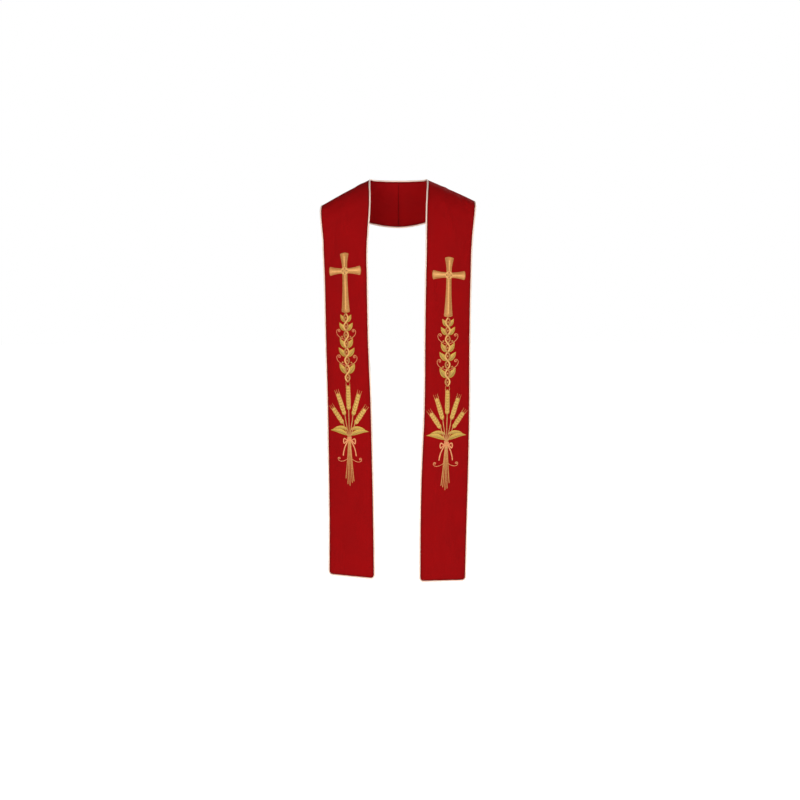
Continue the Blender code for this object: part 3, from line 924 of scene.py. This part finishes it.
def cross_pieces():
    """The cross: four filled arms, a border round them, a rib down each, and a boss on the crossing."""
    fills = [
        cross_fill(degrees, length, number * 31, SIDE_ARM_TONE if degrees % 180 else UPRIGHT_TONE)
        for number, (degrees, length) in enumerate(CROSS_ARMS)
    ]
    return [
        ("cross_fill", "cream gold", fills),
        ("cross_border", "bronze", [cross_border()]),
        ("cross_ribs", "light gold", [cross_rib(*arm) for arm in CROSS_ARMS]),
        ("boss_ground", "bronze", [dot(0, 0, **BOSS_GROUND)]),
        ("boss_petals", "light gold", boss_petals()),
    ]


# --- The twist with its laurel. All tables from here on are in millimetres and degrees ---

TWIST_START = 129 * MM
TWIST_LENGTH = 208 * MM
TWIST_PERIOD = 52 * MM
TWIST_SWING = 7 * MM
STRAND = dict(half_width=2.6 * MM, height=1.3 * MM, tone=0.42, painted_highlight=0.28, columns=8)
STRAND_SLANT = 0.8
STRAND_LIFT = 0.45 * MM  # how far a strand rises and sinks where the two cross
TENDRIL = dict(half_width=0.85 * MM, height=0.75 * MM, tone=0.5, slant=1, columns=6, painted_highlight=0.2)
VEIN = dict(half_width=0.5 * MM, height=0.55 * MM, tone=0.6, slant=1, base=0.42 * MM, columns=5)
VEIN_POINTS = 31  # of the 40 on a leaf's middle line
EYE_BERRY = dict(radius=3.3 * MM, pad=1.7 * MM, heading=30)
SPRIG_BERRY = dict(radius=2.9 * MM, pad=1.6 * MM, heading=60)
# Pairs of leaves: the crossing of the strands that they grow from, heading, length, half width and bend
LAUREL = (
    (1, 43, 28, 6.2, -18), (2, 50, 32, 7, -22), (4, 44, 34, 7.4, -18), (5, 53, 36, 7.8, -22), (7, 48, 38, 8.2, -20),
)
LAUREL_FOOT = 2.6
# Tendrils: where they start sideways and down, heading, length, and the bend of the stem and of the scroll
TWIST_TENDRILS = ((5, 208, 76, 72, -70, -520), (5, 287, 78, 76, -74, -540))
# Berries beside them, sideways and down
SPRIG_BERRIES = ((14, 199.5), (19, 204), (14.5, 278), (20, 282))


def twist_strand(side):
    """One strand: sideways as the sine of the distance down, and over the other at every second crossing."""
    down = np.linspace(0, TWIST_LENGTH, 400)
    turns = TURN * down / TWIST_PERIOD
    path = points_of(side * TWIST_SWING * np.sin(turns), TWIST_START + down)
    lift = STRAND_LIFT * (1 + side * np.cos(turns))
    return satin_cord(path, slant=STRAND_SLANT * side, lift=lift, seed=side, **STRAND)


def tendril(side, start_side, down, heading, length, bend, scroll, seed):
    path = curved_line((start_side * MM, down * MM), heading, length * MM, bend, 160, scroll)
    return satin_cord(path * (side, 1), seed=seed, **TENDRIL)


def leaf_pairs(rows, seed_step, tone):
    """Mirrored leaves, and the light threads that couch their middle lines over three quarters of them."""
    leaves, veins = [], []
    for number, (foot, down, heading, length, half_width, bend) in enumerate(rows):
        for side in SIDES:
            line = (side * foot * MM, down * MM), side * heading, length * MM
            # painted light on one half of each leaf and painted shade on the other, mirrored on the two sides
            look = {"tone": tone, "seed": number * seed_step + side, "painted_side_light": -0.15 * side}
            leaves.append(satin_leaf(*line, half_width * MM, side * bend, **look))
            vein = curved_line(*line, side * bend)[:VEIN_POINTS]
            veins.append(satin_cord(vein, seed=look["seed"], **VEIN))
    return leaves, veins


def twist_pieces():
    """Two strands twisted round each other, a berry in each eye, and leaves and tendrils from the crossings."""
    crossings = [(TWIST_START + row[0] * TWIST_PERIOD / 2) / MM for row in LAUREL]
    leaves, veins = leaf_pairs([(LAUREL_FOOT, down, *row[1:]) for down, row in zip(crossings, LAUREL)], 7, 0.34)
    eyes = TWIST_START + TWIST_PERIOD * (np.arange(8) + 0.5) / 2
    berries = [dot(0, down, seed=number, **EYE_BERRY) for number, down in enumerate(eyes)]
    berries += [
        dot(side * reach * MM, down * MM, seed=number, **SPRIG_BERRY)
        for side in SIDES
        for number, (reach, down) in enumerate(SPRIG_BERRIES)
    ]
    scrolls = [(side, *row) for side in SIDES for row in TWIST_TENDRILS]
    return [
        ("twist_bronze", "bronze", [twist_strand(1)]),
        ("twist_gold", "light gold", [twist_strand(-1)]),
        ("laurel_leaves", "olive gold", leaves),
        ("laurel_veins", "light gold", veins),
        ("berries", "cream gold", berries),
        ("scrolls", "peach", [tendril(*scroll, number) for number, scroll in enumerate(scrolls)]),
    ]


# --- The sheaf ---

TIE_DOWN = 512
# Ears of wheat: where each starts sideways and down, heading, length, bend, pairs of grains and layer, and how
# far sideways and down its stalk ends
Ear = namedtuple("Ear", "side down heading length bend pairs layer end_side end_down")
EARS = (
    Ear(19, 466, 33, 54, 3, 6, 0, 13, 634),
    Ear(-19, 466, -33, 54, -3, 6, 0, -12, 641),
    Ear(13, 440, 17, 68, 2, 7, 1, 7, 650),
    Ear(-13, 440, -17, 68, -2, 7, 1, -6.5, 646),
    Ear(0, 424, 0, 74, 0, 8, 2, 0.5, 655),
)
GRAIN = dict(blunt=(0.6, 0.8), slant=0.5, groove=0.25, columns=8)
SIDE_GRAIN = dict(half_width=3.3 * MM, pad=1.5 * MM, tone=0.40, edge_tone=0.30, tip_tone=0.55, **GRAIN)
TIP_GRAIN = dict(length=13 * MM, half_width=2.9 * MM, pad=1.2 * MM, tone=0.45, **GRAIN)
EAR_PLACES = (0.02, 0.84)  # the lowest and the highest pair of grains, as shares of the ear's length
EAR_TIP = 0.86
EAR_LAYER = 0.35 * MM  # how much higher each layer of ears lies
GRAIN_LENGTH = 14.5 * MM  # of the lowest ones of an ear
GRAIN_SHRINK = 0.20  # towards its tip
GRAIN_SPLAY = 29
GRAIN_BEND = -16
AWN_FOOT = (0.95, 8)  # where on its grain an awn starts, as a share of the length, and degrees inward
SIDE_AWN = (14, 15, -10)  # degrees inward, length and bend
TIP_AWN = (11 * MM, 13, 3)  # where on its grain it starts, length and bend
AWN = dict(half_width=0.42 * MM, height=0.5 * MM, tone=0.55, slant=1, columns=4, each=2)
STALK = dict(half_width=1.45 * MM, height=1 * MM, slant=0.9, painted_highlight=0.28, columns=6)
STALK_TOP = 7  # how far inside its ear a stalk starts
STALK_EVEN = 0.35  # how much of its way to the tie is even. The rest follows the half cosine
STALK_WAIST = 0.25  # how far out a stalk passes the tie, as a share of where it ends
STALK_SPREAD = 1.3
STALK_TONES = (0.54, 0.59)  # of every other stalk
STALK_LAYER = 0.12 * MM
RIBBON = dict(half_width=1.9 * MM, height=0.8 * MM, slant=0.3, painted_highlight=0.25)
BOW_LOOP = dict(tone=0.45, base=0.3 * MM, seed=3, **RIBBON)
BOW_TAIL = dict(tone=0.42, base=0.15 * MM, seed=9, **RIBBON)
BOW_START = (2, 3)  # sideways and down from the middle of the tie
TAIL_START = (3, 4)
TAIL_LINE = (142, 52, 36)  # heading, length and bend
BOW_REACH = 17
BOW_ROUND = 0.8
BOW_OPEN = 9.5
BOW_DROOP = 4
WRAP_PLACES = (-4.2, 0, 4.2)
WRAP_END = np.array((7.6, 0.8))  # sideways and down from a wrap's middle
WRAP = dict(half_width=2.2 * MM, height=1.5 * MM, tone=0.5, slant=0.3, base=0.9 * MM, painted_highlight=0.2)
# Pairs of long blades beside the stalks: where they start sideways and down, heading, length, half width and bend
BLADES = ((4, 501, 54, 62, 6.6, 46), (4, 484, 60, 50, 5.4, 58))
SHEAF_TENDRIL = (6, 572, 128, 58, -60, -500)


def awn(tip, heading, length, bend, base, seed):
    line = curved_line(tip, heading, length * MM, bend, 16)
    return satin_cord(line, base=base, seed=seed, **AWN)


def ear_parts(ear, number):
    """Grains in pairs up a curved ear and one at its tip, smaller towards it, with an awn from each."""
    spine = curved_line(np.array((ear.side, ear.down)) * MM, ear.heading, ear.length * MM, ear.bend, 60)
    places = np.linspace(*EAR_PLACES, ear.pairs)
    base = EAR_LAYER * ear.layer
    (start, start_inward), (inward, length, bend), (tip_start, *tip_line) = AWN_FOOT, SIDE_AWN, TIP_AWN
    grains, awns = [], []
    for step, (foot, share) in enumerate(zip(along_path(spine, places * ear.length * MM), places)):
        size = GRAIN_LENGTH * (1 - GRAIN_SHRINK * share)
        for side in SIDES[::-1]:
            lean = ear.heading + ear.bend * share + side * GRAIN_SPLAY
            seed = number * 40 + step * 2 + side
            # painted light on one half of each grain and painted shade on the other, mirrored on the two sides
            grains.append(satin_leaf(foot, lean, size, bend=side * GRAIN_BEND, base=base, seed=seed,
                                     painted_side_light=-0.12 * side, **SIDE_GRAIN))
            tip = foot + heading_of(lean - side * start_inward) * size * start
            awns.append(awn(tip, lean - side * inward, length, side * bend, base / 2, step))
    ahead = ear.heading + ear.bend
    tip = along_path(spine, np.array((EAR_TIP * ear.length * MM,)))[0]
    grains.append(satin_leaf(tip, ahead, base=base, seed=number, **TIP_GRAIN))
    if ear.heading:
        awns.append(awn(tip + heading_of(ahead) * tip_start, ahead, *tip_line, 0, 0))
    return grains, awns


def stalk(ear, number):
    """A stalk from its ear through the tie, in a half cosine's sweep, and out to its end by a power of the way."""
    share = np.linspace(0, 1, 80)
    sweep = STALK_EVEN * share + (1 - STALK_EVEN) * (1 - np.cos(np.pi * share)) / 2
    waist, top = ear.end_side * STALK_WAIST, ear.down - STALK_TOP
    upper = points_of(ear.side + (waist - ear.side) * sweep, top + (TIE_DOWN - top) * share)
    spread = (ear.end_side - waist) * share**STALK_SPREAD
    lower = points_of(waist + spread, TIE_DOWN + (ear.end_down - TIE_DOWN) * share)
    look = {"tone": STALK_TONES[number % 2], "base": STALK_LAYER * (number % 3), "seed": number}
    return satin_cord(joined(upper, lower[1:]) * MM, **look, **STALK)


def bow_parts():
    """The bow: two loops and two tails as flat satin ribbon, and a knot of three wraps over the stalks."""
    parts = []
    turns = np.linspace(0, 1, 120)
    arch = np.sin(np.pi * turns)
    (out, down), (tail_out, tail_down) = BOW_START, TAIL_START
    heading, length, bend = TAIL_LINE
    opening = BOW_DROOP * arch - BOW_OPEN * np.sin(TURN * turns) * arch
    for side in SIDES:
        loop = points_of(side * (out + BOW_REACH * arch**BOW_ROUND), TIE_DOWN + down + opening) * MM
        parts.append(satin_cord(loop, **BOW_LOOP))
        start = side * tail_out * MM, (TIE_DOWN + tail_down) * MM
        parts.append(satin_cord(curved_line(start, side * heading, length * MM, side * bend, 60), **BOW_TAIL))
    for number, place in enumerate(WRAP_PLACES):
        middle = np.array((0, TIE_DOWN + place))
        wrap = np.linspace(middle - WRAP_END, middle + WRAP_END, 20) * MM
        parts.append(satin_cord(wrap, seed=number, **WRAP))
    return parts


def sheaf_pieces():
    """A sheaf of five ears tied with a ribbon, its stalks spreading again below the tie."""
    ears = [ear_parts(ear, number) for number, ear in enumerate(EARS)]
    grains, awns = (sum(parts, []) for parts in zip(*ears))
    leaves, veins = leaf_pairs(BLADES, 5, 0.35)
    return [
        ("wheat_stalks", "bronze", [stalk(ear, number) for number, ear in enumerate(EARS)]),
        ("wheat_blades", "olive gold", leaves),
        ("blade_veins", "light gold", veins),
        ("wheat_grains", "bright gold", grains),
        ("wheat_awns", "light gold", awns),
        ("sheaf_scrolls", "peach", [tendril(side, *SHEAF_TENDRIL, 4) for side in SIDES]),
        ("sheaf_bow", "peach", bow_parts()),
    ]


# --- Studio ---

CAMERA_DISTANCE = 5
CAMERA_ELEVATION = np.radians(4)
PIXEL_AT_BANDS = 3.04 * MM
IMAGE_SIDE = 800
SENSOR = 36
AIM = np.array((4.6 * MM, -150 * MM, -668 * MM))
WHITE = (1, 1, 1)
ROOM_LIGHT = 0.28
FLOOR_Z = -1.56
FLOOR_RINGS = (1, 2, 4, 8, 30)
FLOOR_COLORS = (0.88, 0.88, 0.87), (0.92, 0.92, 0.91)
FLOOR_GLOW = (0.50, 0.80)  # added brightness of the floor near the object, and far off where it meets the room
GLOW_REACH = (1.8, 6)
# Square soft lamps: the place of each, the point that it faces, its side, its power and its color
LAMPS = {
    "key": ((-1.5, -4.2, -0.95), (0, -0.1, -0.75), 2, 120, (1, 0.985, 0.965)),
    "fill": ((1.9, -3.9, -1.05), (0, -0.1, -0.8), 2.2, 81, (0.975, 0.99, 1)),
    "back": ((2.6, 3.2, 1.3), (0, 0, -0.5), 1.8, 150, WHITE),
    "top": ((0, 0.3, 3.2), (0, 0, 0), 3, 4, WHITE),
}


def add_camera():
    """Looks along +Y and a little down, with a lens that shows the front bands at their size to a pixel."""
    forward = np.array((0, np.cos(CAMERA_ELEVATION), -np.sin(CAMERA_ELEVATION)))
    data = bpy.data.cameras.new("camera")
    data.sensor_width = SENSOR
    data.lens = SENSOR * CAMERA_DISTANCE / (PIXEL_AT_BANDS * IMAGE_SIDE)
    data.clip_end = 100
    camera = placed("camera", data)
    camera.location = AIM - forward * CAMERA_DISTANCE
    camera.rotation_euler = (np.pi / 2 - CAMERA_ELEVATION, 0, 0)
    bpy.context.scene.camera = camera


def add_lamp(name, place, aim, side, energy, color):
    data = bpy.data.lights.new(name, "AREA")
    data.shape, data.size, data.energy, data.color = "SQUARE", side, energy, color
    back = unit(np.array(place) - np.array(aim))
    right = unit(np.cross((0, 0, 1), back))
    turn = np.eye(4)
    turn[:3] = np.stack((right, np.cross(back, right), back, place), axis=1)
    placed(name, data).matrix_world = Matrix(turn.tolist())


def add_room():
    """A plain room that looks white to the camera and gives little light."""
    world = bpy.data.worlds.new("studio")
    world.use_nodes = True
    bpy.context.scene.world = world
    room = Nodes(world.node_tree)
    light = room.fill(room.nodes["Background"], {"Color": (*WHITE, 1), "Strength": ROOM_LIGHT})
    seen = room.add("Background", {"Color": (*WHITE, 1), "Strength": 1})
    room.fill(room.nodes["World Output"], {"Surface": room.seen_as(light.outputs[0], seen.outputs[0])})


def add_floor():
    """A wide pale floor in rings, which glows more with the distance until it fades into the room."""
    radius, turn = np.meshgrid(FLOOR_RINGS, np.linspace(0, TURN, 65)[:-1], indexing="ij")
    points = points_of(radius * np.cos(turn), radius * np.sin(turn), FLOOR_Z).reshape(-1, 3)
    faces = grid_faces(*radius.shape, ringed=True)[:, [0, 3, 2, 1]].tolist()  # facing up
    mesh = bpy.data.meshes.new("floor")
    mesh.from_pydata(points.tolist(), [], [list(range(turn.shape[1])), *faces])
    look = Look("pale_floor", Roughness=0.9)
    place = look.attribute("position", "Vector")
    speckle = look.noise(place, 3)
    mesh.materials.append(look.finish(look.ramp(speckle, *FLOOR_COLORS), look.bump(speckle, MM)))
    distance = look.add("VectorMath", {0: place}, operation="LENGTH").outputs["Value"]
    glow = look.add("Emission", {"Strength": look.span(distance, *FLOOR_GLOW, *GLOW_REACH)})
    plain = look.shader.outputs[0]
    lit = look.add("AddShader", {0: plain, 1: glow.outputs[0]})
    look.fill(look.nodes["Material Output"], {"Surface": look.seen_as(plain, lit.outputs[0])})
    placed("floor", mesh)


def main():
    looks = {name: thread_look(name.replace(" ", "_") + "_thread", colors) for name, colors in THREADS.items()}
    cloth_look, piping_look = red_cloth(), cream_piping()
    embroidery = cross_pieces() + twist_pieces() + sheaf_pieces()
    for band in BANDS:
        panel = add_band(band, cloth_look)
        sewn_on = [add_piping(band, piping_look)]
        sewn_on += [add_stitching(name, band, shapes, looks[thread]) for name, thread, shapes in embroidery]
    bpy.context.scene.view_settings.view_transform = "Standard"
    add_camera()
    add_room()
    add_floor()
    for name, settings in LAMPS.items():
        add_lamp(name, *settings)


main()
